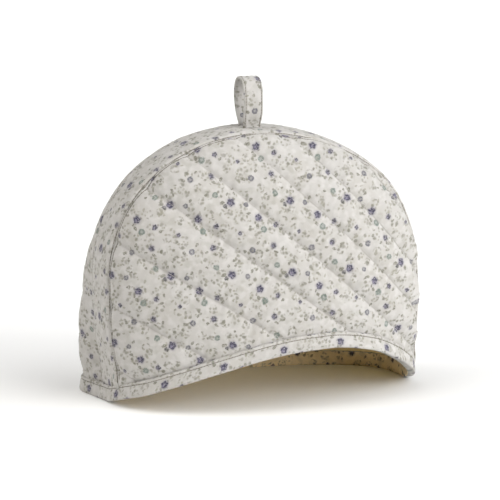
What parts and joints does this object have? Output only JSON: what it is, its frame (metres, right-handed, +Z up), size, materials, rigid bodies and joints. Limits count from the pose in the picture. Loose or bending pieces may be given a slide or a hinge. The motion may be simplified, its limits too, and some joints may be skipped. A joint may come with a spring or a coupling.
{
  "type": "quilted tea cosy",
  "caption": "Domed quilted cotton tea cosy with a boxing strip between front and back, a folded hem band whose front rises in an arch, and a hanging loop on top.",
  "frame": {"origin": "on the table, under the middle of the whole object", "axes": "+X runs along the width to the right as seen from the front, -Y is the arched front, +Z is up"},
  "size_m": [0.3274, 0.19, 0.3038],
  "materials": {
    "quilted_cotton": "matt woven cotton, off-white with a small blue floral print, wadded and stitched in diagonal channels",
    "gusset_cotton": "matt woven cotton, off-white with a small blue floral print, seams topstitched",
    "band_cotton": "matt woven cotton, off-white with a small blue floral print, folded and topstitched",
    "loop_cotton": "matt woven cotton, off-white with a small blue floral print, folded to a narrow strip"
  },
  "bodies": {
    "root": {"front_panel": "quilted_cotton", "back_panel": "quilted_cotton", "gusset": "gusset_cotton", "hem_band": "band_cotton", "loop": "loop_cotton"}
  },
  "joints": []
}
